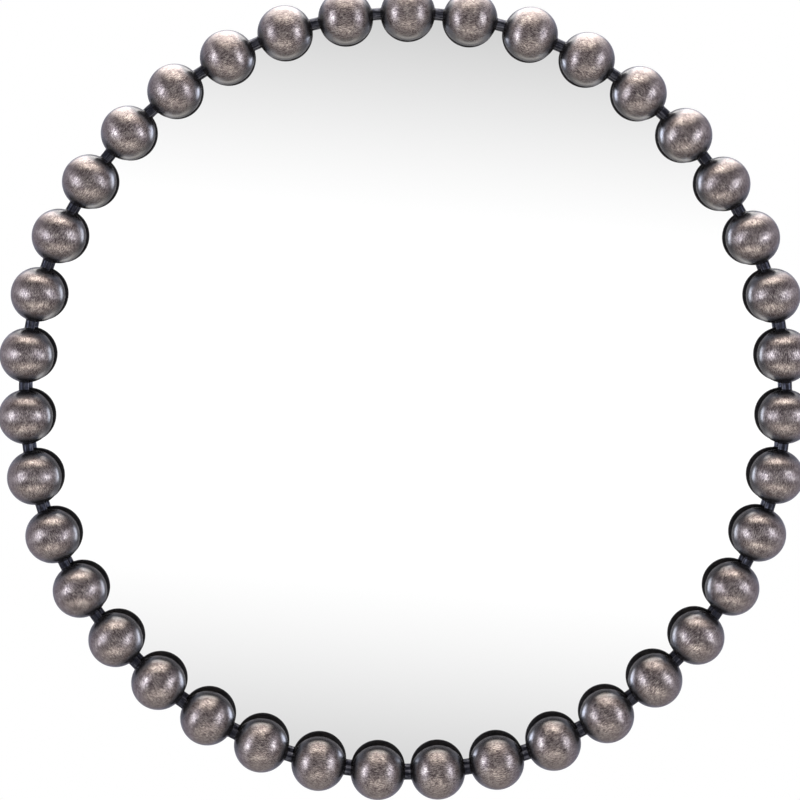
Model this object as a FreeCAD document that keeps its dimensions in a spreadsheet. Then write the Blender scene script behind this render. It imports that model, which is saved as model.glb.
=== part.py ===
import FreeCAD, Part
import math
import os
import re
import Sketcher

# Round wall mirror, 762 mm across, whose frame is a ring of hollow steel balls.
# A steel rod rolled to a ring is threaded through all the balls, and its weld is inside ball_01.
# A flat steel band is welded on edge to the backs of the balls. The silvered glass and the
# fibreboard behind it lie inside the band, and small screws through the band hold the board.
# The glass is stuck to the board with dabs of adhesive, and its front lies close behind the balls.
# Two D-rings, each in a folded steel strap, hang the mirror, and four rubber feet rest on the wall.
#
# Frame: X to the right and Z up as seen from the front, and +Y towards the wall.
# The origin is the middle of the mirror on the wall's face, where the feet touch it.
# Pieces that repeat round the ring are counted clockwise from the top, as seen from the front.

# The driving dimensions, in millimetres, degrees or counts.
SIZES = {
    "ball_count": (39, "balls on the ring"),
    "ball_circle": (711, "diameter through the balls' middles"),
    "ball_diameter": (51, "outside of a ball"),
    "ball_wall": (1.2, "sheet thickness of a ball"),
    "ball_sway": (1.1, "most that a ball runs ahead of even spacing, as an angle"),
    "sway_start": (19, "turn of the sway, as an angle"),
    "rod_diameter": (9.5, "round bar of the ring"),
    "rod_play": (0.2, "round the rod in a ball's holes"),
    "glass_reach": (0.5, "from the balls' middles out to the glass edge"),
    "glass_thickness": (4, "silvered glass"),
    "glass_arris": (0.6, "ground edge of the glass"),
    "glass_play": (0.3, "between the balls' backs and the glass"),
    "mastic_thickness": (1, "adhesive between glass and board"),
    "mastic_diameter": (60, "one dab of adhesive"),
    "mastic_count": (8, "dabs round the middle one"),
    "mastic_circle": (440, "diameter of the circle of dabs"),
    "board_thickness": (9, "fibreboard"),
    "board_chamfer": (0.8, "broken edge of the board"),
    "band_play": (0.5, "between the band and the glass or the board"),
    "band_thickness": (2, "flat steel of the band"),
    "weld_gap": (0.1, "between the band's front edge and the balls"),
    "rim_screw_count": (13, "screws through the band, one behind every third ball"),
    "rim_screw_length": (14, "under its head"),
    "screw_diameter": (3, "wood screw"),
    "screw_head": (6, "across a screw's head"),
    "screw_head_height": (1.8, "a screw's head"),
    "screw_head_top": (4, "across the flat top of a screw's head"),
    "screw_point": (2.5, "length of a screw's point"),
    "screw_play": (0.1, "round a screw in its hole"),
    "recess_width": (0.8, "arm of the cross recess"),
    "recess_span": (3.2, "across the cross recess"),
    "recess_depth": (1, "cross recess"),
    "hanger_inset": (152.8, "from the glass edge at its side to a D-ring's middle"),
    "hanger_height": (190, "D-rings' pivots above the middle of the mirror"),
    "hanger_screw_length": (9.5, "under its head"),
    "strap_sheet": (1, "steel sheet, folded double"),
    "strap_width": (16, "strap"),
    "strap_length": (46, "from the pivot to the strap's end"),
    "strap_screw_pitch": (14, "between the strap's screws"),
    "ring_wire": (3.2, "wire of a D-ring"),
    "ring_width": (23, "D-ring, middle to middle of its wire"),
    "ring_corner": (3, "bend at the D-ring's straight side, at the wire's middle"),
    "ring_leg": (4, "straight leg of the D-ring"),
    "ring_play": (0.08, "round the wire in the strap's eye"),
    "ring_rest_play": (0.3, "between the hanging D-ring and its strap"),
    "foot_diameter": (16, "rubber foot, where it is stuck on"),
    "foot_face": (13, "rubber foot, where it meets the wall"),
    "foot_thickness": (6.4, "rubber foot"),
    "foot_dimple": (7, "across the dimple in a foot's face"),
    "foot_dimple_depth": (1, "dimple in a foot's face"),
    "foot_inset": (46, "from the glass edge to a foot's middle"),
    "foot_angle": (55, "from the mirror's vertical line to a foot"),
    "cut_overrun": (1, "how far a cutting shape passes its face"),
}

# Places worked out from the sizes above, as formulas of the sheet's names.
BALL_RADIUS = "ball_diameter / 2"
ROD_RING_RADIUS = "sqrt(ball_circle^2 + ball_diameter^2) / 2"
GLASS_RADIUS = "(ball_circle / 2 + glass_reach)"
BOARD_BACK = "-foot_thickness"
GLASS_BACK = "(-foot_thickness - board_thickness - mastic_thickness)"
GLASS_FRONT = "(-foot_thickness - board_thickness - mastic_thickness - glass_thickness)"
RING_PLANE = f"({GLASS_FRONT} - glass_play - {BALL_RADIUS})"
BAND_INSIDE = f"({GLASS_RADIUS} + band_play)"
BAND_OUTSIDE = f"({GLASS_RADIUS} + band_play + band_thickness)"
BAND_DEPTH = "(board_thickness + mastic_thickness + glass_thickness + glass_play - weld_gap)"
HANGER_ACROSS = f"({GLASS_RADIUS} - hanger_inset)"
STRAP_END = "(strap_width / 2 - strap_length)"
EYE_HEIGHT = "(strap_sheet + ring_play + ring_wire / 2)"
RING_CROSSING = "(ring_corner + ring_leg + sqrt(ring_width^2 - strap_width^2) / 2)"
RING_LIFT = f"(2 * strap_sheet + ring_rest_play + ring_wire / 2 - {EYE_HEIGHT})"
RING_TILT = f"asin({RING_LIFT} / {RING_CROSSING})"
FOOT_RING_RADIUS = f"({GLASS_RADIUS} - foot_inset)"
DIMPLE_RADIUS = "(foot_dimple^2 / 4 + foot_dimple_depth^2) / (2 * foot_dimple_depth)"

# Each strap is held by two screws, one above the other.
STRAP_SCREWS = 2

doc = FreeCAD.newDocument("RoundMirror")
sheet = doc.addObject("Spreadsheet::Sheet", "Sizes")
for row, (alias, (size, note)) in enumerate(SIZES.items(), start=1):
    sheet.set(f"A{row}", alias.replace("_", " "))
    sheet.set(f"B{row}", str(size))
    sheet.setAlias(f"B{row}", alias)
    sheet.set(f"C{row}", note)
doc.recompute()

# The finished sub-parts, by the name of their file.
nodes = {}


def formula(text):
    """The text with each of the sheet's names made a reference to its cell."""
    return re.sub(r"[a-z]+(?:_[a-z]+)+", lambda found: "Sizes." + found.group(), text)


def value(text):
    """What a formula of the sheet's names comes to now."""
    return float(sheet.evalExpression(formula(text)))


def bind(item, **properties):
    """Ties an object's properties to formulas of the sheet's names."""
    for name, text in properties.items():
        item.setExpression(name, formula(text))
    return item


def place(item, x="0", y="0", z="0", turn="0", about="0; 1; 0"):
    """Ties an object's place to the sheet: turned by so many degrees about an axis, then moved."""
    spot = f"placement(vector({x}; {y}; {z}); rotation(vector({about}); {turn}))"
    item.setExpression("Placement", formula(spot))
    return item


def node(item, name):
    """Marks an object as a finished sub-part of that name."""
    item.Label = name
    nodes[name] = item
    return item


def cylinder(radius, height):
    """A cylinder that stands on its own XY plane."""
    return bind(doc.addObject("Part::Cylinder", "Cylinder"), Radius=radius, Height=height)


def cone(bottom, top, height):
    """A tapered cylinder that stands on its own XY plane."""
    return bind(doc.addObject("Part::Cone", "Cone"), Radius1=bottom, Radius2=top, Height=height)


def sphere(radius):
    """A sphere round its own origin."""
    return bind(doc.addObject("Part::Sphere", "Sphere"), Radius=radius)


def box(length, width, height):
    """A box from its own origin along X, Y and Z."""
    return bind(doc.addObject("Part::Box", "Box"), Length=length, Width=width, Height=height)


def cut(base, tool):
    """The base with the tool's space taken out of it."""
    item = doc.addObject("Part::Cut", "Cut")
    item.Base = base
    item.Tool = tool
    return item


def fuse(*shapes):
    """Several shapes joined to one."""
    item = doc.addObject("Part::MultiFuse", "Fusion")
    item.Shapes = list(shapes)
    item.Refine = True
    return item


def group(shapes, name):
    """Like pieces kept as separate solids in one sub-part."""
    item = doc.addObject("Part::Compound", "Group")
    item.Links = shapes
    return node(item, name)


def body(name):
    """An empty PartDesign body that becomes the sub-part of that name."""
    return node(doc.addObject("PartDesign::Body", "Body"), name)


def origin_feature(owner, role):
    """A plane or an axis of a body's own origin."""
    return next(item for item in owner.Origin.OriginFeatures if item.Role == role)


def sketch(owner, plane):
    """An empty sketch on one of its body's own origin planes."""
    item = owner.newObject("Sketcher::SketchObject", "Sketch")
    item.AttachmentSupport = (origin_feature(owner, plane), "")
    item.MapMode = "FlatFace"
    return item


def dimension(outline, kind, places, text):
    """Adds a dimension to a sketch and ties it to the sheet."""
    number = outline.addConstraint(Sketcher.Constraint(kind, *places, value(text)))
    outline.setExpression(f"Constraints[{number}]", formula(text))


def circle(outline, radius, across="0", up="0"):
    """Draws a circle on a sketch and ties its radius and its middle to the sheet."""
    middle = FreeCAD.Vector(value(across), value(up), 0)
    number = outline.addGeometry(Part.Circle(middle, FreeCAD.Vector(0, 0, 1), value(radius)))
    dimension(outline, "Radius", (number,), radius)
    for kind, text in (("DistanceX", across), ("DistanceY", up)):
        if value(text) < 0:
            dimension(outline, kind, (number, 3, -1, 1), f"-({text})")
        else:
            dimension(outline, kind, (-1, 1, number, 3), text)


def pad(owner, outline, length):
    """Adds material from a sketch's plane towards the mirror's front."""
    item = owner.newObject("PartDesign::Pad", "Pad")
    item.Profile = outline
    return bind(item, Length=length)


def round_edges(item):
    """The names of a disc's circular edges."""
    edges = enumerate(item.Shape.Edges, start=1)
    return [f"Edge{number}" for number, edge in edges if edge.Curve.TypeId == "Part::GeomCircle"]


def glass_size_disc(name, thickness, bevel):
    """A disc as wide as the glass, with both edges bevelled, from its own plane towards the front."""
    owner = body(name)
    outline = sketch(owner, "XZ_Plane")
    circle(outline, GLASS_RADIUS)
    disc = pad(owner, outline, thickness)
    doc.recompute()
    chamfer = owner.newObject("PartDesign::Chamfer", "Chamfer")
    chamfer.Base = (disc, round_edges(disc))
    bind(chamfer, Size=bevel)
    return owner


def holes_round_edge(owner, radius, start, depth):
    """Drills a hole into a disc's or band's edge halfway up the board, and repeats it round."""
    outline = sketch(owner, "XY_Plane")
    circle(outline, radius, up="-board_thickness / 2")
    drill = owner.newObject("PartDesign::Pocket", "Pocket")
    drill.Profile = outline
    drill.Reversed = True
    bind(drill, Length=depth)
    bind(outline, **{"AttachmentOffset.Base.z": start})
    pattern = owner.newObject("PartDesign::PolarPattern", "PolarPattern")
    pattern.Originals = [drill]
    pattern.Axis = (origin_feature(owner, "Y_Axis"), [""])
    bind(pattern, Occurrences="rim_screw_count")
    owner.Tip = pattern


def screw(length):
    """A wood screw along Z with its head above its own XY plane and its point below."""
    head = cone("screw_head / 2", "screw_head_top / 2", "screw_head_height")
    shank = cylinder("screw_diameter / 2", f"{length} - screw_point")
    place(shank, z=f"screw_point - {length}")
    point = cone("0", "screw_diameter / 2", "screw_point")
    place(point, z=f"-{length}")
    arm = box("recess_span", "recess_width", "recess_depth + cut_overrun")
    place(arm, x="-recess_span / 2", y="-recess_width / 2", z="screw_head_height - recess_depth")
    cross_arm = box("recess_width", "recess_span", "recess_depth + cut_overrun")
    place(cross_arm, x="-recess_width / 2", y="-recess_span / 2", z="screw_head_height - recess_depth")
    return cut(fuse(head, shank, point), fuse(arm, cross_arm))


def ball_turn(number):
    """The angle of a ball from the top, clockwise from the front, with the ring's uneven spacing."""
    even = f"360 * {number} / ball_count"
    return f"({even} + ball_sway * sin(({even} + sway_start) * 1deg))"


# The balls: each is a hollow steel sphere with two holes that the rod passes through.
for number in range(int(value("ball_count"))):
    shell = cut(sphere(BALL_RADIUS), sphere(f"{BALL_RADIUS} - ball_wall"))
    drill = cylinder("rod_diameter / 2 + rod_play", "ball_diameter + 2 * cut_overrun")
    place(drill, x=f"-{BALL_RADIUS} - cut_overrun", turn="90")
    turn = ball_turn(number)
    ball = node(cut(shell, drill), f"ball_{number + 1:02d}")
    place(
        ball,
        x=f"ball_circle / 2 * sin({turn} * 1deg)",
        y=RING_PLANE,
        z=f"ball_circle / 2 * cos({turn} * 1deg)",
        turn=turn,
    )

# The rod: one round bar rolled to a ring, which passes through the balls' holes at mid-bore.
rod = node(doc.addObject("Part::Torus", "Torus"), "ring_rod")
bind(rod, Radius1=ROD_RING_RADIUS, Radius2="rod_diameter / 2")
place(rod, y=RING_PLANE, turn="90", about="1; 0; 0")

# The band: flat bar rolled on edge round the glass and the board, hidden behind the rod.
band = body("rim_band")
band_outline = sketch(band, "XZ_Plane")
circle(band_outline, BAND_INSIDE)
circle(band_outline, BAND_OUTSIDE)
pad(band, band_outline, BAND_DEPTH)
holes_round_edge(
    band,
    "screw_diameter / 2 + screw_play",
    f"{BAND_INSIDE} - cut_overrun",
    "band_thickness + 2 * cut_overrun",
)
place(band, y=BOARD_BACK)

# The glass: float glass silvered on its back, with a ground edge.
glass = glass_size_disc("mirror_glass", "glass_thickness", "glass_arris")
place(glass, y=GLASS_BACK)

# The adhesive: one dab in the middle and a circle of dabs, pressed flat between glass and board.
dab_places = [("0", "0")]
for number in range(int(value("mastic_count"))):
    turn = f"(360 * ({number} + 1 / 2) / mastic_count * 1deg)"
    dab_places.append((f"mastic_circle / 2 * sin{turn}", f"mastic_circle / 2 * cos{turn}"))
dabs = []
for across, up in dab_places:
    dab = cylinder("mastic_diameter / 2", "mastic_thickness")
    dabs.append(place(dab, x=across, y=GLASS_BACK, z=up, turn="-90", about="1; 0; 0"))
group(dabs, "mirror_adhesive")

# The board: black fibreboard with pilot holes round its edge for the band's screws and in its
# back for the hangers' screws.
board = glass_size_disc("backing_board", "board_thickness", "board_chamfer")
holes_round_edge(
    board,
    "screw_diameter / 2 + screw_play",
    f"{GLASS_RADIUS} - rim_screw_length",
    "rim_screw_length + cut_overrun",
)
pilot_outline = sketch(board, "XZ_Plane")
for side in (-1, 1):
    for number in range(STRAP_SCREWS):
        circle(
            pilot_outline,
            "screw_diameter / 2 + screw_play",
            across=f"{side} * {HANGER_ACROSS}",
            up=f"hanger_height + {STRAP_END} + {number} * strap_screw_pitch",
        )
pilot_holes = board.newObject("PartDesign::Pocket", "Pocket")
pilot_holes.Profile = pilot_outline
pilot_holes.Reversed = True
bind(pilot_holes, Length="hanger_screw_length - 2 * strap_sheet + screw_play")
place(board, y=BOARD_BACK)

# The band's screws: round the edge, through the band into the board.
rim_screws = []
for number in range(int(value("rim_screw_count"))):
    turn = f"360 * {number} / rim_screw_count"
    rim_screws.append(
        place(
            screw("rim_screw_length"),
            x=f"{BAND_OUTSIDE} * sin({turn} * 1deg)",
            y=f"{BOARD_BACK} - board_thickness / 2",
            z=f"{BAND_OUTSIDE} * cos({turn} * 1deg)",
            turn=turn,
        )
    )
group(rim_screws, "rim_screws")


def strap():
    """A strap folded round a D-ring's wire, its back on the XZ plane and its eye at the top."""
    plate = box("strap_width", "2 * strap_sheet", "strap_length - strap_width / 2")
    place(plate, x="-strap_width / 2", z=STRAP_END)
    end = cylinder("strap_width / 2", "2 * strap_sheet")
    place(end, z=STRAP_END, turn="-90", about="1; 0; 0")
    eye = cylinder(EYE_HEIGHT, "strap_width")
    place(eye, x="-strap_width / 2", y=EYE_HEIGHT, turn="90")
    bore = cylinder("ring_wire / 2 + ring_play", "strap_width + 2 * cut_overrun")
    place(bore, x="-strap_width / 2 - cut_overrun", y=EYE_HEIGHT, turn="90")
    holes = [bore]
    for number in range(STRAP_SCREWS):
        hole = cylinder("screw_diameter / 2 + screw_play", "2 * (strap_sheet + cut_overrun)")
        height = f"{STRAP_END} + {number} * strap_screw_pitch"
        holes.append(place(hole, y="-cut_overrun", z=height, turn="-90", about="1; 0; 0"))
    return cut(fuse(plate, end, eye), fuse(*holes))


def d_ring(name):
    """A D-ring bent from wire, its straight side through the origin along X and its bow above."""
    owner = body(name)
    path = sketch(owner, "XZ_Plane")
    half, corner, leg = value("ring_width / 2"), value("ring_corner"), value("ring_leg")
    bar = half - corner
    top = corner + leg
    up = FreeCAD.Vector(0, 0, 1)

    def bend(x, y, radius, start, finish):
        middle = Part.Circle(FreeCAD.Vector(x, y, 0), up, radius)
        return Part.ArcOfCircle(middle, math.radians(start), math.radians(finish))

    def run(x1, y1, x2, y2):
        return Part.LineSegment(FreeCAD.Vector(x1, y1, 0), FreeCAD.Vector(x2, y2, 0))

    pieces = [
        run(-bar, 0, bar, 0),
        bend(bar, corner, corner, -90, 0),
        run(half, corner, half, top),
        bend(0, top, half, 0, 180),
        run(-half, top, -half, corner),
        bend(-bar, corner, corner, 180, 270),
    ]
    straight, right_bend, right_leg, bow, left_leg, left_bend = path.addGeometry(pieces)
    ring = [straight, right_bend, right_leg, bow, left_leg, left_bend]
    for this, following in zip(ring, ring[1:] + ring[:1]):
        path.addConstraint(Sketcher.Constraint("Tangent", this, 2, following, 1))
    path.addConstraint(Sketcher.Constraint("Symmetric", straight, 1, straight, 2, -1, 1))
    path.addConstraint(Sketcher.Constraint("Horizontal", straight))
    path.addConstraint(Sketcher.Constraint("Equal", right_bend, left_bend))
    dimension(path, "DistanceX", (straight, 1, straight, 2), "ring_width - 2 * ring_corner")
    dimension(path, "Radius", (right_bend,), "ring_corner")
    dimension(path, "DistanceY", (right_leg, 1, right_leg, 2), "ring_leg")
    section = sketch(owner, "YZ_Plane")
    circle(section, "ring_wire / 2")
    doc.recompute()
    sweep = owner.newObject("PartDesign::AdditivePipe", "Pipe")
    sweep.Profile = section
    sweep.Spine = (path, [f"Edge{number + 1}" for number in range(len(ring))])
    return owner


# The hangers: a D-ring on each side swings in the eye of a strap, which two screws hold.
hanger_screws = []
for side, name in ((-1, "left"), (1, "right")):
    across = f"{side} * {HANGER_ACROSS}"
    strap_node = node(strap(), f"hanger_strap_{name}")
    place(strap_node, x=across, y=BOARD_BACK, z="hanger_height")
    ring = d_ring(f"d_ring_{name}")
    place(
        ring,
        x=across,
        y=f"{BOARD_BACK} + {EYE_HEIGHT}",
        z="hanger_height",
        turn=f"{RING_TILT} - 180deg",
        about="1; 0; 0",
    )
    for number in range(STRAP_SCREWS):
        hanger_screws.append(
            place(
                screw("hanger_screw_length"),
                x=across,
                y=f"{BOARD_BACK} + 2 * strap_sheet",
                z=f"hanger_height + {STRAP_END} + {number} * strap_screw_pitch",
                turn="-90",
                about="1; 0; 0",
            )
        )
group(hanger_screws, "hanger_screws")

# The feet: tapered rubber discs stuck to the board, each with a dimple in its face.
FOOT_SIDES = {"top_left": (-1, 1), "top_right": (1, 1), "bottom_right": (1, -1), "bottom_left": (-1, -1)}
for name, (across, up) in FOOT_SIDES.items():
    rubber = cone("foot_diameter / 2", "foot_face / 2", "foot_thickness")
    dimple = sphere(DIMPLE_RADIUS)
    place(dimple, z=f"foot_thickness - foot_dimple_depth + {DIMPLE_RADIUS}")
    place(
        node(cut(rubber, dimple), f"foot_{name}"),
        x=f"{across} * {FOOT_RING_RADIUS} * sin(foot_angle * 1deg)",
        y=BOARD_BACK,
        z=f"{up} * {FOOT_RING_RADIUS} * cos(foot_angle * 1deg)",
        turn="-90",
        about="1; 0; 0",
    )

# Every object has to be sound before anything is written.
doc.recompute()
for item in doc.Objects:
    if "Invalid" in item.State or "Error" in item.State:
        raise RuntimeError(f"{item.Label} did not build")
for name, item in nodes.items():
    if item.Shape.isNull() or not item.Shape.isValid():
        raise RuntimeError(f"{name} has no valid shape")
os.makedirs("parts", exist_ok=True)
for name, item in nodes.items():
    item.Shape.exportStep(f"parts/{name}.step")
print(f"{len(nodes)} sub-parts written")
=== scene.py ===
import bpy
import math
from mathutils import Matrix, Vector


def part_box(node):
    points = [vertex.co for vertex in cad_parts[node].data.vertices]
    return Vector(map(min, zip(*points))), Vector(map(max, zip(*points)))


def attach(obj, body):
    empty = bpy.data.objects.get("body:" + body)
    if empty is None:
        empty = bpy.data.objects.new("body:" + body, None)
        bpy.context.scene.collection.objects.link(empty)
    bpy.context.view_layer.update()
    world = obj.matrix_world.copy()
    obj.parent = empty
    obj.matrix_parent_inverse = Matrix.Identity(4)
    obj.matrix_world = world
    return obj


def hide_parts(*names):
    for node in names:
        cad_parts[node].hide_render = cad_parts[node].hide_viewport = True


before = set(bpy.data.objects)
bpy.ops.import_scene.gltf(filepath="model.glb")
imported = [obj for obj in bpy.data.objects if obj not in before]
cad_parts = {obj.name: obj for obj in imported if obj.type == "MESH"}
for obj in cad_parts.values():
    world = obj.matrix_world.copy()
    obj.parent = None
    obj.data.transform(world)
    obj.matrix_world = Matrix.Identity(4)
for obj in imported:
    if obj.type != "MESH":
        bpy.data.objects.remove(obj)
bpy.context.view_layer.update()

# The rod: one round steel bar, rolled to a ring and blackened in a hot salt bath. It is threaded
# through the balls and welded shut inside the top one, and shows as a short neck between balls.
RING_RADIUS = 0.3555
DRAWN_LENGTH = 0.012
DRAWN_WIDTH = 0.0007
DRAWN_DEPTH = 0.0001
BLOTCH_LENGTH = 0.006
BLOTCH_WIDTH = 0.004


def linear(colour):
    """An sRGB colour written as six hex digits, as the linear values that the shaders take."""
    shares = [int(colour[place : place + 2], 16) / 255 for place in (1, 3, 5)]
    return [s / 12.92 if s <= 0.04045 else ((s + 0.055) / 1.055) ** 2.4 for s in shares] + [1]


def add_node(tree, kind, inputs=None, **settings):
    """Adds a node with its settings. An input is a value, or the socket that feeds it."""
    node = tree.nodes.new(kind)
    for name, setting in settings.items():
        setattr(node, name, setting)
    for place, given in (inputs or {}).items():
        if isinstance(given, bpy.types.NodeSocket):
            tree.links.new(given, node.inputs[place])
        else:
            node.inputs[place].default_value = given
    return node


def new_material(name):
    """An empty material and the tree that its nodes go in."""
    material = bpy.data.materials.new(name)
    material.use_nodes = True
    material.node_tree.nodes.clear()
    return material, material.node_tree


def dress(name, material):
    """Gives a CAD node a new material in place of its plain one."""
    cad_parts[name].data.materials.clear()
    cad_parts[name].data.materials.append(material)


def marks_of_work(tree, vector, turned, length, width, detail, fade, number=0.0):
    """Marks drawn out along their length, or round ones where length and width are the same. They
    go from none to full between the two levels of fade."""
    laid = add_node(tree, "ShaderNodeMapping", {
        "Vector": vector, "Rotation": turned, "Scale": (1 / length, 1 / width, 1 / width),
    }).outputs[0]
    noise = add_node(tree, "ShaderNodeTexNoise", {
        "Vector": laid, "W": number, "Scale": 1.0, "Detail": detail, "Roughness": 0.6,
    }, noise_dimensions="4D").outputs["Fac"]
    faint, full = fade
    return add_node(tree, "ShaderNodeMapRange", {
        "Value": noise, "From Min": faint, "From Max": full,
    }, interpolation_type="SMOOTHSTEP").outputs[0]


def places_round_the_ring(tree):
    """Places on a piece: along the ring from its top, out from its middle, and towards the wall."""
    x, y, z = add_node(tree, "ShaderNodeSeparateXYZ", {
        0: add_node(tree, "ShaderNodeTexCoord").outputs["Object"],
    }).outputs
    down = add_node(tree, "ShaderNodeMath", {0: z, 1: -1.0}, operation="MULTIPLY").outputs[0]
    turn = add_node(tree, "ShaderNodeMath", {0: x, 1: down}, operation="ARCTAN2").outputs[0]
    along = add_node(tree, "ShaderNodeMath", {0: turn, 1: RING_RADIUS}, operation="MULTIPLY").outputs[0]
    flat = add_node(tree, "ShaderNodeCombineXYZ", {0: x, 1: z}).outputs[0]
    out = add_node(tree, "ShaderNodeVectorMath", {0: flat}, operation="LENGTH").outputs["Value"]
    return add_node(tree, "ShaderNodeCombineXYZ", {0: along, 1: out, 2: y}).outputs[0]


def lay_finish(tree, tones, gloss, relief, plain):
    """Ends a material. Tones are a share and a colour for each end of it, gloss is a share and a
    roughness for each end, relief is a height, its strength and its depth, and plain holds the
    values that are the same all over."""
    share, first, second = tones
    colour = add_node(tree, "ShaderNodeMix", {
        0: share, 6: linear(first), 7: linear(second),
    }, data_type="RGBA").outputs[2]
    share, start, end = gloss
    roughness = add_node(tree, "ShaderNodeMapRange", {
        "Value": share, "To Min": start, "To Max": end,
    }, interpolation_type="SMOOTHSTEP").outputs[0]
    surface = add_node(tree, "ShaderNodeBsdfPrincipled", {
        "Base Color": colour, "Roughness": roughness, **plain,
    })
    if relief:
        height, strength, depth = relief
        bump = add_node(tree, "ShaderNodeBump", {"Height": height, "Strength": strength, "Distance": depth})
        tree.links.new(bump.outputs[0], surface.inputs["Normal"])
    add_node(tree, "ShaderNodeOutputMaterial", {0: surface.outputs[0]})


# Blackened steel: a blue-black oxide on a drawn surface, whose lines run along the bar. They are
# drawn coarser than real ones, so that they show.
blackened_steel, tree = new_material("steel_blackened")
laid = places_round_the_ring(tree)
drawn = marks_of_work(tree, laid, (0, 0, 0), DRAWN_LENGTH, DRAWN_WIDTH, 2.0, (0.35, 0.7))
blotched = marks_of_work(tree, laid, (0, 0, 0), BLOTCH_LENGTH, BLOTCH_WIDTH, 3.0, (0.3, 0.75))
worn = add_node(tree, "ShaderNodeMath", {0: drawn, 1: blotched}, operation="MULTIPLY").outputs[0]
lay_finish(
    tree, (worn, "#2c2d36", "#82848f"), (drawn, 0.42, 0.28), (drawn, 0.3, DRAWN_DEPTH),
    {"Metallic": 1.0})
dress("ring_rod", blackened_steel)

# The balls: 39 hollow balls pressed from steel sheet and welded from two halves, with a hole
# at each end for the rod and a weld fillet round it. They are blackened, then burnished by hand
# with steel wool, so the metal shines through in front and stays black at the holes and behind.
# That black at the holes and behind is also painted shade, of the neighbouring balls and of
# the glass.
ball_nodes = sorted(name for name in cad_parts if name.startswith("ball_"))
rod_low, rod_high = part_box("ring_rod")
BALL_RADIUS = 0.0255
BALL_WALL = 0.0012
BALL_SWAY = math.radians(1.1)
SWAY_START = math.radians(19)
RING_PLANE = (rod_high.y + rod_low.y) / 2
ROD_RADIUS = (rod_high.y - rod_low.y) / 2
HOLE_CLEARANCE = 0.0002
WELD_LEG = 0.0008
ROUND_BALL = 48
ALONG_BALL = 34
ALONG_WELD = 3
INSIDE_BALL = 8


def ball_profile():
    """The half outline of a hollow ball and its welds: along the rod's axis, and out from it."""
    weld_edge = math.asin((ROD_RADIUS + WELD_LEG) / BALL_RADIUS)
    inner_radius = BALL_RADIUS - BALL_WALL
    inner_edge = math.asin((ROD_RADIUS + HOLE_CLEARANCE) / inner_radius)
    skin = []
    for step in range(ALONG_BALL):
        turn = weld_edge + (math.pi - 2 * weld_edge) * step / (ALONG_BALL - 1)
        skin.append((BALL_RADIUS * math.cos(turn), BALL_RADIUS * math.sin(turn)))
    foot, toe = skin[0], (skin[0][0] + WELD_LEG, ROD_RADIUS)
    weld = []
    for step in range(ALONG_WELD):
        swing = math.pi / 2 * step / ALONG_WELD
        weld.append((
            toe[0] - (toe[0] - foot[0]) * math.sin(swing),
            foot[1] - (foot[1] - toe[1]) * math.cos(swing),
        ))
    lining = []
    for step in range(INSIDE_BALL):
        turn = inner_edge + (math.pi - 2 * inner_edge) * step / (INSIDE_BALL - 1)
        lining.append((inner_radius * math.cos(turn), inner_radius * math.sin(turn)))
    return weld + skin + [(-along, out) for along, out in reversed(weld)] + lining[::-1]


profile = ball_profile()
corners = []
for spoke in range(ROUND_BALL):
    turn = 2 * math.pi * spoke / ROUND_BALL
    corners += [(x, out * math.cos(turn), out * math.sin(turn)) for x, out in profile]
faces = []
for spoke in range(ROUND_BALL):
    this, following = spoke * len(profile), (spoke + 1) % ROUND_BALL * len(profile)
    for step in range(len(profile)):
        onward = (step + 1) % len(profile)
        faces.append((this + step, this + onward, following + onward, following + step))
ball_mesh = bpy.data.meshes.new("one_ball")
ball_mesh.from_pydata(corners, [], faces)
ball_mesh.shade_smooth()
one_ball = bpy.data.objects.new("one_ball", ball_mesh)
bpy.context.scene.collection.objects.link(one_ball)

# Burnished steel over black patina: the patina gives a brown-black ground, the steel wool opens
# a warm silver in strokes that run from hole to hole, crossed by shorter ones. The sides stay
# smooth gunmetal under clear wax. The strokes are drawn coarser than real ones, so that they show.
UNBURNISHED = linear("#3a3133")
HALF_BURNISHED = linear("#958887")
BURNISHED = linear("#f6ece2")
STROKE_LENGTH = 0.0032
STROKE_WIDTH = 0.00045
STROKE_DEPTH = 0.0002
CROSS_LENGTH = 0.0022
CLOUD_SIZE = 0.006
PIT_SIZE = 0.0012
EVEN_POLISH = 0.62
WAXED_ROUGHNESS = 0.32
PATINA_ROUGHNESS = 0.6

burnished_steel, tree = new_material("steel_blackened_and_burnished")


def sum_of(tree, *terms):
    """Adds up pairs of a socket and a factor, and single numbers."""
    total = sum(term for term in terms if not isinstance(term, tuple))
    for socket, factor in (term for term in terms if isinstance(term, tuple)):
        total = add_node(tree, "ShaderNodeMath", {
            0: socket, 1: factor, 2: total,
        }, operation="MULTIPLY_ADD").outputs[0]
    return total


place = add_node(tree, "ShaderNodeAttribute", attribute_name="ball_place").outputs["Vector"]
number = add_node(tree, "ShaderNodeAttribute", attribute_name="ball_number").outputs["Fac"]
from_axis = add_node(tree, "ShaderNodeSeparateXYZ", {0: place}).outputs
share = add_node(tree, "ShaderNodeMath", {0: from_axis["X"], 1: BALL_RADIUS}, operation="DIVIDE").outputs[0]
latitude = add_node(tree, "ShaderNodeMath", {0: share}, operation="ARCSINE").outputs[0]
across = add_node(tree, "ShaderNodeVectorMath", {0: place, 1: (0, 1, 1)}, operation="MULTIPLY").outputs[0]
across = add_node(tree, "ShaderNodeVectorMath", {0: across}, operation="NORMALIZE").outputs[0]
across = add_node(tree, "ShaderNodeVectorMath", {
    0: across, "Scale": BALL_RADIUS,
}, operation="SCALE").outputs[0]
run = add_node(tree, "ShaderNodeMath", {0: latitude, 1: BALL_RADIUS}, operation="MULTIPLY").outputs[0]
run = add_node(tree, "ShaderNodeCombineXYZ", {0: run}).outputs[0]
meridian = add_node(tree, "ShaderNodeVectorMath", {0: across, 1: run}, operation="ADD").outputs[0]
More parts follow.
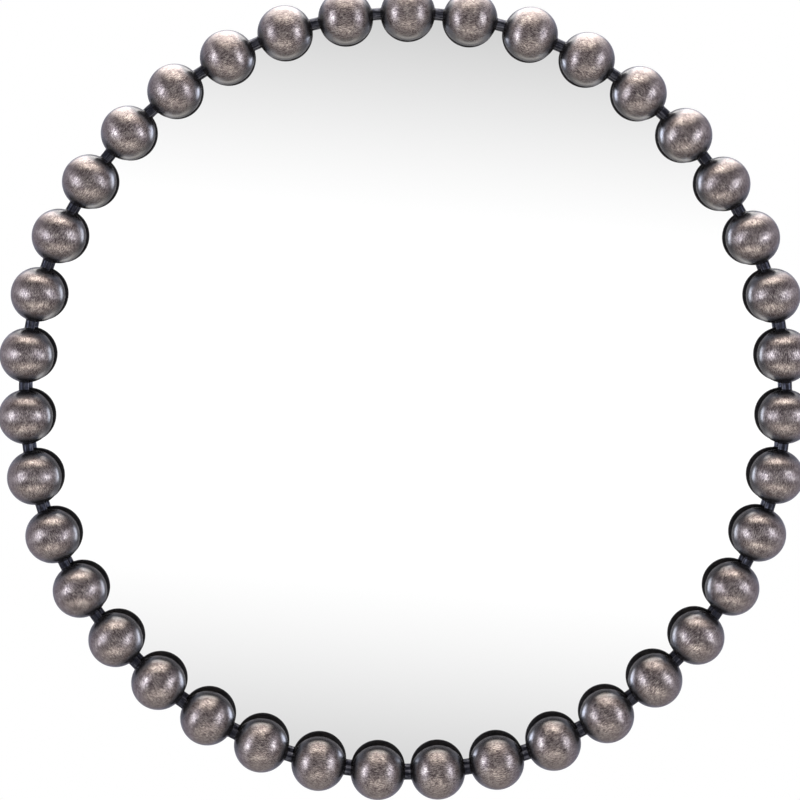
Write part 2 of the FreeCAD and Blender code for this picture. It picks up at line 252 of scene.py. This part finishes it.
along_strokes = marks_of_work(
    tree, meridian, (0, 0, 0), STROKE_LENGTH, STROKE_WIDTH, 1.5, (0.36, 0.66), number)
cross_strokes = add_node(tree, "ShaderNodeMath", {
    0: marks_of_work(tree, place, (0.3, 0.2, 0.9), CROSS_LENGTH, STROKE_WIDTH, 1.0, (0.45, 0.72), number),
    1: marks_of_work(tree, place, (-0.4, 0.3, -0.8), CROSS_LENGTH, STROKE_WIDTH, 1.0, (0.45, 0.72), number),
}, operation="MAXIMUM").outputs[0]
cloud = marks_of_work(tree, place, (0, 0, 0), CLOUD_SIZE, CLOUD_SIZE, 3.0, (0.3, 0.7), number)
pits = marks_of_work(tree, place, (0, 0, 0), PIT_SIZE, PIT_SIZE, 1.0, (0.64, 0.72), number)

# The wool doesn't reach the holes, the half of a ball that faces the wall, or the side that
# faces the middle of the ring, next to the glass. It rubs the outer side most evenly. The dark
# at the holes is also painted shade and painted dark reflection of the neighbouring balls; the
# black behind and the darker side facing the middle are also painted shade next to the glass.
towards_hole = add_node(tree, "ShaderNodeMath", {0: share}, operation="ABSOLUTE").outputs[0]
# The dark round each hole is patina that the wool misses, and also painted shade and painted dark
# reflection of the neighbouring ball. It is drawn wider than the patina alone would be.
hole_patina_and_painted_shade = add_node(tree, "ShaderNodeMapRange", {
    "Value": sum_of(tree, (towards_hole, 1.0), (along_strokes, 0.05), (cloud, 0.05)),
    "From Min": 0.7, "From Max": 0.93,
}, interpolation_type="SMOOTHSTEP").outputs[0]
on_ring = add_node(tree, "ShaderNodeSeparateXYZ", {0: places_round_the_ring(tree)}).outputs
out, depth = on_ring["Y"], on_ring["Z"]
# The black towards the wall is patina that the wool misses, and it is also painted shade. It starts a
# little in front of the ball's middle, so that the rim and its reflection in the glass show black.
behind = add_node(tree, "ShaderNodeMapRange", {
    "Value": sum_of(tree, (depth, 1.0), (cloud, 0.005), (along_strokes, 0.003)),
    "From Min": RING_PLANE - 0.12 * BALL_RADIUS, "From Max": RING_PLANE + 0.38 * BALL_RADIUS,
}, interpolation_type="SMOOTHSTEP").outputs[0]
# The side facing the middle of the ring goes to a darker gunmetal. It is less rubbed there, and the darker
# gunmetal is also painted shade next to the glass.
inner_side_and_painted_shade = add_node(tree, "ShaderNodeMapRange", {
    "Value": out,
    "From Min": RING_RADIUS - 0.45 * BALL_RADIUS, "From Max": RING_RADIUS - 0.85 * BALL_RADIUS,
}, interpolation_type="SMOOTHSTEP").outputs[0]
outer_side = add_node(tree, "ShaderNodeMapRange", {
    "Value": out,
    "From Min": RING_RADIUS + 0.2 * BALL_RADIUS, "From Max": RING_RADIUS + 0.9 * BALL_RADIUS,
}, interpolation_type="SMOOTHSTEP").outputs[0]
reach_edge = sum_of(
    tree, (depth, 1.0), (along_strokes, 0.004), (cloud, 0.003), (outer_side, -0.3 * BALL_RADIUS))
reached = add_node(tree, "ShaderNodeMapRange", {
    "Value": reach_edge,
    "From Min": RING_PLANE - 0.62 * BALL_RADIUS, "From Max": RING_PLANE - 0.22 * BALL_RADIUS,
    "To Min": 1.0, "To Max": 0.0,
}, interpolation_type="SMOOTHSTEP").outputs[0]
# Patina and painted shade together: the black at the holes and behind.
black_patina_and_painted_shade = add_node(tree, "ShaderNodeMath", {0: hole_patina_and_painted_shade, 1: behind}, operation="MAXIMUM").outputs[0]
polish = add_node(tree, "ShaderNodeMix", {
    0: sum_of(tree, (outer_side, 0.6)),
    2: sum_of(tree, (along_strokes, 0.44), (cross_strokes, 0.42), (cloud, 0.2), (pits, -0.35), 0.04),
    3: EVEN_POLISH,
}, data_type="FLOAT").outputs[0]
colour = add_node(tree, "ShaderNodeValToRGB", {0: polish})
ramp = colour.color_ramp
ramp.elements[0].position = 0.08
ramp.elements[0].color = UNBURNISHED
ramp.elements[1].position = 0.92
ramp.elements[1].color = BURNISHED
ramp.elements.new(0.5).color = HALF_BURNISHED
# Darker gunmetal on the side facing the middle: partly painted shade.
gunmetal = add_node(tree, "ShaderNodeMix", {
    0: inner_side_and_painted_shade, 6: linear("#6b7382"), 7: linear("#1c1c22"),
}, data_type="RGBA").outputs[2]
# This black patina is also the colour of the painted shade at the holes and behind.
patina = add_node(tree, "ShaderNodeMix", {
    0: cloud, 6: linear("#111113"), 7: linear("#201d1e"),
}, data_type="RGBA").outputs[2]
coloured = add_node(tree, "ShaderNodeMix", {
    0: reached, 6: gunmetal, 7: colour.outputs[0],
}, data_type="RGBA").outputs[2]
coloured = add_node(tree, "ShaderNodeMix", {
    0: black_patina_and_painted_shade, 6: coloured, 7: patina,
}, data_type="RGBA").outputs[2]
satin = add_node(tree, "ShaderNodeMix", {
    0: reached, 2: WAXED_ROUGHNESS, 3: sum_of(tree, (polish, -0.1), (outer_side, 0.08), 0.4),
}, data_type="FLOAT").outputs[0]
sheen = add_node(tree, "ShaderNodeMix", {
    0: black_patina_and_painted_shade, 2: satin, 3: PATINA_ROUGHNESS,
}, data_type="FLOAT").outputs[0]
scratched = add_node(tree, "ShaderNodeBump", {
    "Height": polish, "Strength": 0.3, "Distance": STROKE_DEPTH,
})
# Strokes along the ring draw a highlight out across it, away from the ring's middle.
outward = add_node(tree, "ShaderNodeVectorMath", {
    0: add_node(tree, "ShaderNodeTexCoord").outputs["Object"], 1: (1, 0, 1),
}, operation="MULTIPLY").outputs[0]
surface = add_node(tree, "ShaderNodeBsdfPrincipled", {
    "Base Color": coloured,
    "Metallic": sum_of(tree, (black_patina_and_painted_shade, -1.0), 1.0),
    "Roughness": sheen,
    "Specular IOR Level": 0.02,
    "Normal": scratched.outputs[0],
    "Coat Weight": sum_of(tree, (reached, -0.8), (behind, -1.0), 1.0),
    "Coat Roughness": 0.22,
    "Coat IOR": 2.0,
    "Anisotropic": 0.65,
    "Tangent": add_node(tree, "ShaderNodeVectorMath", {0: outward}, operation="NORMALIZE").outputs[0],
})
add_node(tree, "ShaderNodeOutputMaterial", {0: surface.outputs[0]})

# The tree threads the ball on the ring: it keeps each ball's own coordinates and number for the
# finish, and rolls each ball round the rod so that no two look alike.
tree = bpy.data.node_groups.new("balls_on_the_ring", "GeometryNodeTree")
tree.is_modifier = True
sizes = {
    "Ball": (None, "NodeSocketGeometry"),
    "Count": (len(ball_nodes), "NodeSocketInt"),
    "Ring radius": (RING_RADIUS, "NodeSocketFloat"),
    "Ring plane": (RING_PLANE, "NodeSocketFloat"),
    "Sway": (BALL_SWAY, "NodeSocketFloat"),
    "Sway start": (SWAY_START, "NodeSocketFloat"),
    "Seed": (7, "NodeSocketInt"),
}
sockets = {
    name: tree.interface.new_socket(name=name, in_out="INPUT", socket_type=kind)
    for name, (size, kind) in sizes.items()
}
tree.interface.new_socket(name="Balls", in_out="OUTPUT", socket_type="NodeSocketGeometry")
given = add_node(tree, "NodeGroupInput").outputs
own_place = add_node(tree, "GeometryNodeInputPosition")
kept = add_node(tree, "GeometryNodeStoreNamedAttribute", {
    "Geometry": given["Ball"], "Name": "ball_place", "Value": own_place.outputs[0],
}, data_type="FLOAT_VECTOR", domain="POINT")
index = add_node(tree, "GeometryNodeInputIndex").outputs[0]
step = add_node(tree, "ShaderNodeMath", {0: 2 * math.pi, 1: given["Count"]}, operation="DIVIDE")
even = add_node(tree, "ShaderNodeMath", {0: index, 1: step.outputs[0]}, operation="MULTIPLY")
swayed = add_node(tree, "ShaderNodeMath", {0: even.outputs[0], 1: given["Sway start"]}, operation="ADD")
swayed = add_node(tree, "ShaderNodeMath", {0: swayed.outputs[0]}, operation="SINE")
turn = add_node(tree, "ShaderNodeMath", {
    0: swayed.outputs[0], 1: given["Sway"], 2: even.outputs[0],
}, operation="MULTIPLY_ADD")
across = add_node(tree, "ShaderNodeMath", {0: turn.outputs[0]}, operation="SINE")
across = add_node(tree, "ShaderNodeMath", {
    0: across.outputs[0], 1: given["Ring radius"],
}, operation="MULTIPLY")
up = add_node(tree, "ShaderNodeMath", {0: turn.outputs[0]}, operation="COSINE")
up = add_node(tree, "ShaderNodeMath", {0: up.outputs[0], 1: given["Ring radius"]}, operation="MULTIPLY")
spot = add_node(tree, "ShaderNodeCombineXYZ", {
    "X": across.outputs[0], "Y": given["Ring plane"], "Z": up.outputs[0],
})
spots = add_node(tree, "GeometryNodePoints", {"Count": given["Count"], "Position": spot.outputs[0]})
roll = add_node(tree, "FunctionNodeRandomValue", {
    2: -math.pi, 3: math.pi, "ID": index, "Seed": given["Seed"],
}, data_type="FLOAT")
rolled = add_node(tree, "ShaderNodeCombineXYZ", {"X": roll.outputs[1], "Y": turn.outputs[0]})
threaded = add_node(tree, "GeometryNodeInstanceOnPoints", {
    "Points": spots.outputs[0], "Instance": kept.outputs[0], "Rotation": rolled.outputs[0],
})
numbered = add_node(tree, "GeometryNodeStoreNamedAttribute", {
    "Geometry": threaded.outputs[0], "Name": "ball_number", "Value": index,
}, data_type="FLOAT", domain="INSTANCE")
solid = add_node(tree, "GeometryNodeRealizeInstances", {0: numbered.outputs[0]})
finished = add_node(tree, "GeometryNodeSetMaterial", {
    "Geometry": solid.outputs[0], "Material": burnished_steel,
})
add_node(tree, "NodeGroupOutput", {0: finished.outputs[0]})
threading = one_ball.modifiers.new("balls_on_the_ring", "NODES")
threading.node_group = tree
for name, (size, kind) in sizes.items():
    if size is not None:
        threading[sockets[name].identifier] = size
shown = one_ball.evaluated_get(bpy.context.evaluated_depsgraph_get())
steel_balls = bpy.data.objects.new("steel_balls", bpy.data.meshes.new_from_object(shown))
bpy.context.scene.collection.objects.link(steel_balls)
bpy.data.objects.remove(one_ball)
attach(steel_balls, "mirror")
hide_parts(*ball_nodes)

# The band: flat steel bar rolled on edge round the glass and the board, and welded to the backs
# of the balls. It went through the same black bath as the rod, over marks of the rolls that are
# drawn coarser than real ones, so that they show.
ROLL_MARK_LENGTH = 0.03
ROLL_MARK_WIDTH = 0.0009
ROLL_MARK_DEPTH = 0.0001
SCALE_LENGTH = 0.02
SCALE_WIDTH = 0.009
rolled_steel, tree = new_material("flat_steel_blackened")
laid = places_round_the_ring(tree)
marks = marks_of_work(tree, laid, (0, 0, 0), ROLL_MARK_LENGTH, ROLL_MARK_WIDTH, 2.0, (0.35, 0.7))
scale = marks_of_work(tree, laid, (0, 0, 0), SCALE_LENGTH, SCALE_WIDTH, 4.0, (0.35, 0.7))
lay_finish(
    tree, (sum_of(tree, (marks, 0.4), (scale, 0.5)), "#1d1d22", "#4a4a51"), (scale, 0.55, 0.38),
    (marks, 0.25, ROLL_MARK_DEPTH), {"Metallic": 0.9})
dress("rim_band", rolled_steel)

# The glass: a disc of 4 mm float glass, silvered on its back under grey protective paint, with a
# fine-ground edge. It rests in the band, and the adhesive holds it to the board.
GROUND_EDGE = 0.0007
BACK_PAINT = 0.0003
SMEAR_SIZE = 0.12
SMEAR_ROUGHNESS = 0.015
GRAIN_SIZE = 0.0006
glass_low, glass_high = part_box("mirror_glass")
silvered_glass, tree = new_material("float_glass_silvered")
laid = places_round_the_ring(tree)
on_ring = add_node(tree, "ShaderNodeSeparateXYZ", {0: laid}).outputs
smear = marks_of_work(tree, laid, (0, 0, 0), SMEAR_SIZE, SMEAR_SIZE, 3.0, (0.4, 0.8))
grain = marks_of_work(tree, laid, (0, 0, 0), GRAIN_SIZE, GRAIN_SIZE, 2.0, (-0.25, 1.25))
at_edge = add_node(tree, "ShaderNodeMapRange", {
    "Value": on_ring["Y"],
    "From Min": glass_high.x - GROUND_EDGE, "From Max": glass_high.x - 0.6 * GROUND_EDGE,
}, interpolation_type="SMOOTHSTEP").outputs[0]
at_back = add_node(tree, "ShaderNodeMapRange", {
    "Value": on_ring["Z"],
    "From Min": glass_high.y - BACK_PAINT, "From Max": glass_high.y - 0.5 * BACK_PAINT,
}, interpolation_type="SMOOTHSTEP").outputs[0]
ground_glass = add_node(tree, "ShaderNodeMix", {
    0: grain, 6: linear("#8fa69c"), 7: linear("#c3d2ca"),
}, data_type="RGBA").outputs[2]
back_paint = add_node(tree, "ShaderNodeMix", {
    0: grain, 6: linear("#53595c"), 7: linear("#6b7275"),
}, data_type="RGBA").outputs[2]
coloured = add_node(tree, "ShaderNodeMix", {
    0: at_edge, 6: linear("#f8f8f8"), 7: ground_glass,
}, data_type="RGBA").outputs[2]
coloured = add_node(tree, "ShaderNodeMix", {
    0: at_back, 6: coloured, 7: back_paint,
}, data_type="RGBA").outputs[2]
dull = add_node(tree, "ShaderNodeMath", {0: at_edge, 1: at_back}, operation="MAXIMUM").outputs[0]
surface = add_node(tree, "ShaderNodeBsdfPrincipled", {
    "Base Color": coloured,
    "Metallic": sum_of(tree, (dull, -1.0), 1.0),
    "Roughness": add_node(tree, "ShaderNodeMix", {
        0: dull, 2: sum_of(tree, (smear, SMEAR_ROUGHNESS)), 3: 0.5,
    }, data_type="FLOAT").outputs[0],
})
add_node(tree, "ShaderNodeOutputMaterial", {0: surface.outputs[0]})
dress("mirror_glass", silvered_glass)

# The adhesive: nine dabs of acid-free mastic, pressed flat between the glass and the board. It
# is pale, slightly rubbery, and rippled where it squeezed out.
RIPPLE_SIZE = 0.003
RIPPLE_DEPTH = 0.0004
mastic, tree = new_material("mirror_mastic_cured")
place = add_node(tree, "ShaderNodeTexCoord").outputs["Object"]
ripples = marks_of_work(tree, place, (0, 0, 0), RIPPLE_SIZE, RIPPLE_SIZE, 2.0, (0.3, 0.7))
lay_finish(tree, (ripples, "#a9a69b", "#cdcac0"), (ripples, 0.6, 0.42), (ripples, 0.4, RIPPLE_DEPTH), {})
dress("mirror_adhesive", mastic)

# The board: a disc of fibreboard behind the glass, which carries it, the hangers and the feet.
# Matt black paint was rolled on it, over fibres that show a little.
STIPPLE_SIZE = 0.0016
STIPPLE_DEPTH = 0.0002
FIBRE_LENGTH = 0.003
FIBRE_WIDTH = 0.0004
ROLLER_LENGTH = 0.12
ROLLER_WIDTH = 0.035
black_board, tree = new_material("fibreboard_painted_black")
place = add_node(tree, "ShaderNodeTexCoord").outputs["Object"]
stipple = marks_of_work(tree, place, (0, 0, 0), STIPPLE_SIZE, STIPPLE_SIZE, 2.0, (0.3, 0.7))
fibres = add_node(tree, "ShaderNodeMath", {
    0: marks_of_work(tree, place, (0, 0.7, 0), FIBRE_LENGTH, FIBRE_WIDTH, 1.0, (0.62, 0.8)),
    1: marks_of_work(tree, place, (0, -0.5, 0), FIBRE_LENGTH, FIBRE_WIDTH, 1.0, (0.62, 0.8)),
}, operation="MAXIMUM").outputs[0]
rolled = marks_of_work(tree, place, (0, 0, 0), ROLLER_LENGTH, ROLLER_WIDTH, 3.0, (0.3, 0.7))
paint = sum_of(tree, (stipple, 0.4), (fibres, 0.4), (rolled, 0.1))
lay_finish(
    tree, (paint, "#1b1b1c", "#3b3937"), (rolled, 0.78, 0.6), (stipple, 0.35, STIPPLE_DEPTH),
    {"Specular IOR Level": 0.35})
dress("backing_board", black_board)

# The rim screws: thirteen wood screws with black oxide, driven through the band into the board's
# edge. The driver has rubbed the crests of their heads a little.
RUB_SIZE = 0.0009
screw_black, tree = new_material("screw_black_oxide")
place = add_node(tree, "ShaderNodeTexCoord").outputs["Object"]
rubbed = marks_of_work(tree, place, (0, 0, 0), RUB_SIZE, RUB_SIZE, 3.0, (0.45, 0.75))
lay_finish(tree, (rubbed, "#1c1c20", "#56565a"), (rubbed, 0.5, 0.33), None, {"Metallic": 0.9})
dress("rim_screws", screw_black)

# The straps: zinc-plated steel sheet, folded round the D-rings' wire and screwed to the board.
# The sheet was rolled lengthwise, and the zinc is bright with a faint yellow and blue tint. The
# lines of the rolls are drawn coarser than real ones, so that they show.
SHEET_LINE_LENGTH = 0.02
SHEET_LINE_WIDTH = 0.00035
SHEET_LINE_DEPTH = 0.00005
TINT_SIZE = 0.006
zinc_sheet, tree = new_material("steel_sheet_zinc_plated")
place = add_node(tree, "ShaderNodeTexCoord").outputs["Object"]
lines = marks_of_work(
    tree, place, (0, math.pi / 2, 0), SHEET_LINE_LENGTH, SHEET_LINE_WIDTH, 2.0, (0.3, 0.7))
tint = marks_of_work(tree, place, (0, 0, 0), TINT_SIZE, TINT_SIZE, 2.0, (0.3, 0.7))
lay_finish(
    tree, (tint, "#b4bac2", "#cfccbd"), (sum_of(tree, (lines, 0.6), (tint, 0.4)), 0.42, 0.26),
    (lines, 0.2, SHEET_LINE_DEPTH), {"Metallic": 1.0})
dress("hanger_strap_left", zinc_sheet)
dress("hanger_strap_right", zinc_sheet)

# The D-rings: drawn steel wire bent to a D, zinc plated. They hang from the straps, swing up by
# hand and drop over the wall's hooks, so their bows are scuffed.
WIRE_LINE_LENGTH = 0.004
WIRE_LINE_WIDTH = 0.0005
SCUFF_LENGTH = 0.0025
SCUFF_WIDTH = 0.0006
zinc_wire, tree = new_material("steel_wire_zinc_plated")
place = add_node(tree, "ShaderNodeTexCoord").outputs["Object"]
lines = marks_of_work(tree, place, (0, 0.3, 0), WIRE_LINE_LENGTH, WIRE_LINE_WIDTH, 2.0, (0.3, 0.7))
scuffs = marks_of_work(tree, place, (0.4, -0.6, 0.2), SCUFF_LENGTH, SCUFF_WIDTH, 2.0, (0.55, 0.75))
lay_finish(
    tree, (sum_of(tree, (lines, 0.7), (scuffs, -0.4), 0.2), "#9fa4a9", "#d6d6d0"),
    (sum_of(tree, (lines, -0.4), (scuffs, 0.6), 0.4), 0.22, 0.45), None, {"Metallic": 1.0})
dress("d_ring_left", zinc_wire)
dress("d_ring_right", zinc_wire)

# The hanger screws: four wood screws with button heads and cross recesses, zinc plated, that
# hold the straps to the board.
TURNED_SIZE = 0.0012
zinc_screw, tree = new_material("screw_zinc_plated")
place = add_node(tree, "ShaderNodeTexCoord").outputs["Object"]
turned = marks_of_work(tree, place, (0, 0, 0), TURNED_SIZE, TURNED_SIZE, 3.0, (0.3, 0.75))
lay_finish(tree, (turned, "#a3a6a8", "#d3d2cb"), (turned, 0.36, 0.24), None, {"Metallic": 1.0})
dress("hanger_screws", zinc_screw)

# The feet: four dimpled rubber pads, stuck on near the board's rim with their own glue. They
# meet the wall and keep the mirror upright; the moulded rubber is matt with a little dust on it.
DUST_SIZE = 0.004
PORE_SIZE = 0.0007
PORE_DEPTH = 0.0001
rubber, tree = new_material("rubber_moulded")
place = add_node(tree, "ShaderNodeTexCoord").outputs["Object"]
dust = marks_of_work(tree, place, (0, 0, 0), DUST_SIZE, DUST_SIZE, 4.0, (0.4, 0.75))
pores = marks_of_work(tree, place, (0, 0, 0), PORE_SIZE, PORE_SIZE, 1.0, (0.3, 0.7))
lay_finish(
    tree, (dust, "#19191b", "#38373a"), (dust, 0.7, 0.9), (pores, 0.3, PORE_DEPTH),
    {"Specular IOR Level": 0.3})
dress("foot_top_left", rubber)
dress("foot_top_right", rubber)
dress("foot_bottom_right", rubber)
dress("foot_bottom_left", rubber)

# The floor: a round pale floor under the mirror, painted matt, which fades into the white of the
# studio before its rim. In the glass it shows a little darker than to the eye.
FLOOR_DROP = 1.9
FLOOR_RADIUS = 1.3
FADE_START = 0.9
FADE_END = 1.28
bpy.ops.mesh.primitive_circle_add(
    vertices=96, radius=FLOOR_RADIUS, fill_type="NGON", location=(0, 0, -FLOOR_DROP))
floor = bpy.context.object
floor.name = "studio_floor"
floor_paint, tree = new_material("floor_paint")
place = add_node(tree, "ShaderNodeTexCoord").outputs["Object"]
reach = add_node(tree, "ShaderNodeVectorMath", {0: place}, operation="LENGTH").outputs["Value"]
seen = add_node(tree, "ShaderNodeLightPath").outputs["Is Camera Ray"]
pale = add_node(tree, "ShaderNodeMix", {
    0: seen, 6: linear("#a3a2a2"), 7: linear("#cfcecd"),
}, data_type="RGBA").outputs[2]
paint = add_node(tree, "ShaderNodeBsdfPrincipled", {"Base Color": pale, "Roughness": 0.9})
white = add_node(tree, "ShaderNodeEmission", {
    "Color": (1, 1, 1, 1), "Strength": sum_of(tree, (seen, 0.65), 0.35),
})
faded = add_node(tree, "ShaderNodeMapRange", {
    "Value": reach, "From Min": FADE_START, "From Max": FADE_END,
}, interpolation_type="SMOOTHSTEP").outputs[0]
mixed = add_node(tree, "ShaderNodeMixShader", {0: faded, 1: paint.outputs[0], 2: white.outputs[0]})
add_node(tree, "ShaderNodeOutputMaterial", {0: mixed.outputs[0]})
floor.data.materials.append(floor_paint)

# The softboxes: one at each side in front, a large one overhead, a low one in front, and one above
# and behind the mirror. Each fades to its edges, so that no hard line shows in the glass.
SOFT_EDGE = 0.35
LAMP_AIM = Vector((0, -0.05, 0))
SOFTBOXES = {
    "softbox_left": ((-4.5, -2.95, 0.35), (2.7, 4.0), 5.6, "#ecf1ff"),
    "softbox_right": ((4.5, -2.95, 0.35), (2.7, 4.0), 4.8, "#ecf1ff"),
    "softbox_overhead": ((0, -1.3, 4.1), (6.6, 2.6), 3.7, "#fff8f0"),
    "softbox_low": ((0, -1.5, -1.75), (3.6, 1.5), 1.0, "#fff8f0"),
    "softbox_above_behind": ((0, 0.65, 1.4), (3.2, 1.8), 3.6, "#fffcf8"),
}
for name, (spot, (width, height), radiance, tint) in SOFTBOXES.items():
    lamp = bpy.data.lights.new(name, "AREA")
    lamp.shape = "RECTANGLE"
    lamp.size, lamp.size_y = width, height
    lamp.energy = radiance * math.pi * width * height
    lamp.color = linear(tint)[:3]
    lamp.use_nodes = True
    tree = lamp.node_tree
    tree.nodes.clear()
    spread = add_node(tree, "ShaderNodeSeparateXYZ", {
        0: add_node(tree, "ShaderNodeNewGeometry").outputs["Parametric"],
    }).outputs
    strength = 1.0
    for run in (spread["X"], spread["Y"]):
        from_edge = add_node(tree, "ShaderNodeMath", {0: run, 1: 0.5}, operation="PINGPONG").outputs[0]
        fade = add_node(tree, "ShaderNodeMapRange", {
            "Value": from_edge, "From Min": 0.0, "From Max": SOFT_EDGE,
        }, interpolation_type="SMOOTHSTEP").outputs[0]
        strength = add_node(tree, "ShaderNodeMath", {0: fade, 1: strength}, operation="MULTIPLY").outputs[0]
    add_node(tree, "ShaderNodeOutputLight", {
        0: add_node(tree, "ShaderNodeEmission", {"Strength": strength}).outputs[0],
    })
    holder = bpy.data.objects.new(name, lamp)
    holder.location = spot
    holder.rotation_euler = (LAMP_AIM - Vector(spot)).to_track_quat("-Z", "Y").to_euler()
    holder.visible_camera = False
    bpy.context.scene.collection.objects.link(holder)

# The room: a grey wall behind the mirror and a dimmer room in front, paler near the floor and dark
# at the ceiling. A white card behind the camera, darker towards its upper and lower edges, is
# what the glass shows in front. The camera itself sees white. Sizes are parts of a direction.
CARD_WIDTH = (0.10, 0.22)
CARD_HEIGHT = (0.10, 0.20)
CARD_SHADE = (0.022, 0.11)
CARD_TONES = (1.12, 0.40)
world = bpy.data.worlds.new("studio_room")
bpy.context.scene.world = world
world.use_nodes = True
tree = world.node_tree
tree.nodes.clear()
direction = add_node(tree, "ShaderNodeTexCoord").outputs["Generated"]
parts = add_node(tree, "ShaderNodeSeparateXYZ", {0: direction}).outputs
near_floor = add_node(tree, "ShaderNodeMapRange", {
    "Value": parts["Z"], "From Min": -0.25, "From Max": -0.8,
}, interpolation_type="SMOOTHSTEP").outputs[0]
near_ceiling = add_node(tree, "ShaderNodeMapRange", {
    "Value": parts["Z"], "From Min": 0.5, "From Max": 0.9,
}, interpolation_type="SMOOTHSTEP").outputs[0]
towards_wall = add_node(tree, "ShaderNodeMapRange", {
    "Value": parts["Y"], "From Min": -0.3, "From Max": 0.4,
}, interpolation_type="SMOOTHSTEP").outputs[0]
room = add_node(tree, "ShaderNodeMix", {
    0: near_floor, 6: linear("#8d8a8f"), 7: linear("#d0cdca"),
}, data_type="RGBA").outputs[2]
room = add_node(tree, "ShaderNodeMix", {
    0: near_ceiling, 6: room, 7: linear("#2e2c2e"),
}, data_type="RGBA").outputs[2]
room = add_node(tree, "ShaderNodeMix", {
    0: towards_wall, 6: room, 7: linear("#a6a5b4"),
}, data_type="RGBA").outputs[2]
slope = sum_of(tree, (parts["Z"], 1.0), (parts["X"], 0.09), 0.039)
off_level = add_node(tree, "ShaderNodeMath", {0: slope}, operation="ABSOLUTE").outputs[0]
off_middle = add_node(tree, "ShaderNodeMath", {0: parts["X"]}, operation="ABSOLUTE").outputs[0]
card_tone = add_node(tree, "ShaderNodeMapRange", {
    "Value": off_level, "From Min": CARD_SHADE[0], "From Max": CARD_SHADE[1],
    "To Min": CARD_TONES[0], "To Max": CARD_TONES[1],
}, interpolation_type="SMOOTHSTEP").outputs[0]
on_card = add_node(tree, "ShaderNodeMapRange", {
    "Value": parts["Y"], "From Min": -0.9, "From Max": -0.97,
}, interpolation_type="SMOOTHSTEP").outputs[0]
for off, (edge, end) in ((off_middle, CARD_WIDTH), (off_level, CARD_HEIGHT)):
    within = add_node(tree, "ShaderNodeMapRange", {
        "Value": off, "From Min": edge, "From Max": end, "To Min": 1.0, "To Max": 0.0,
    }, interpolation_type="SMOOTHSTEP").outputs[0]
    on_card = add_node(tree, "ShaderNodeMath", {0: on_card, 1: within}, operation="MULTIPLY").outputs[0]
card = add_node(tree, "ShaderNodeCombineColor", {0: card_tone, 1: card_tone, 2: card_tone}).outputs[0]
room = add_node(tree, "ShaderNodeMix", {0: on_card, 6: room, 7: card}, data_type="RGBA").outputs[2]
rays = add_node(tree, "ShaderNodeLightPath").outputs
room = add_node(tree, "ShaderNodeMix", {
    0: rays["Is Diffuse Ray"], 6: room, 7: linear("#d0d0d0"),
}, data_type="RGBA").outputs[2]
room = add_node(tree, "ShaderNodeMix", {
    0: rays["Is Camera Ray"], 6: room, 7: (1, 1, 1, 1),
}, data_type="RGBA").outputs[2]
glow = add_node(tree, "ShaderNodeBackground", {"Color": room, "Strength": 1.0})
add_node(tree, "ShaderNodeOutputWorld", {0: glow.outputs[0]})

# The camera: level with the upper part of the mirror, with a long lens and its sensor nearly
# parallel to the glass. The pixels say where the ring's middle and the camera's foot on it lie.
CAMERA_DISTANCE = 4.9
IMAGE_WIDTH = 800
RING_RADIUS_PIXELS = 380.6
RING_MIDDLE_PIXEL = (405.5, 394.5)
FOOT_PIXEL = (390, 195)
PIXEL = RING_RADIUS / RING_RADIUS_PIXELS
eye = Vector((
    (FOOT_PIXEL[0] - RING_MIDDLE_PIXEL[0]) * PIXEL,
    glass_low.y - CAMERA_DISTANCE,
    (RING_MIDDLE_PIXEL[1] - FOOT_PIXEL[1]) * PIXEL,
))
aim = Vector((
    (IMAGE_WIDTH / 2 - RING_MIDDLE_PIXEL[0]) * PIXEL,
    RING_PLANE,
    (RING_MIDDLE_PIXEL[1] - IMAGE_WIDTH / 2) * PIXEL,
))
lens = bpy.data.cameras.new("camera")
lens.sensor_width = 36
lens.lens = lens.sensor_width * (aim - eye).length / (IMAGE_WIDTH * PIXEL)
lens.clip_end = 100
camera = bpy.data.objects.new("camera", lens)
camera.location = eye
camera.rotation_euler = (aim - eye).to_track_quat("-Z", "Y").to_euler()
bpy.context.scene.collection.objects.link(camera)
bpy.context.scene.camera = camera
bpy.context.scene.view_settings.view_transform = "Standard"
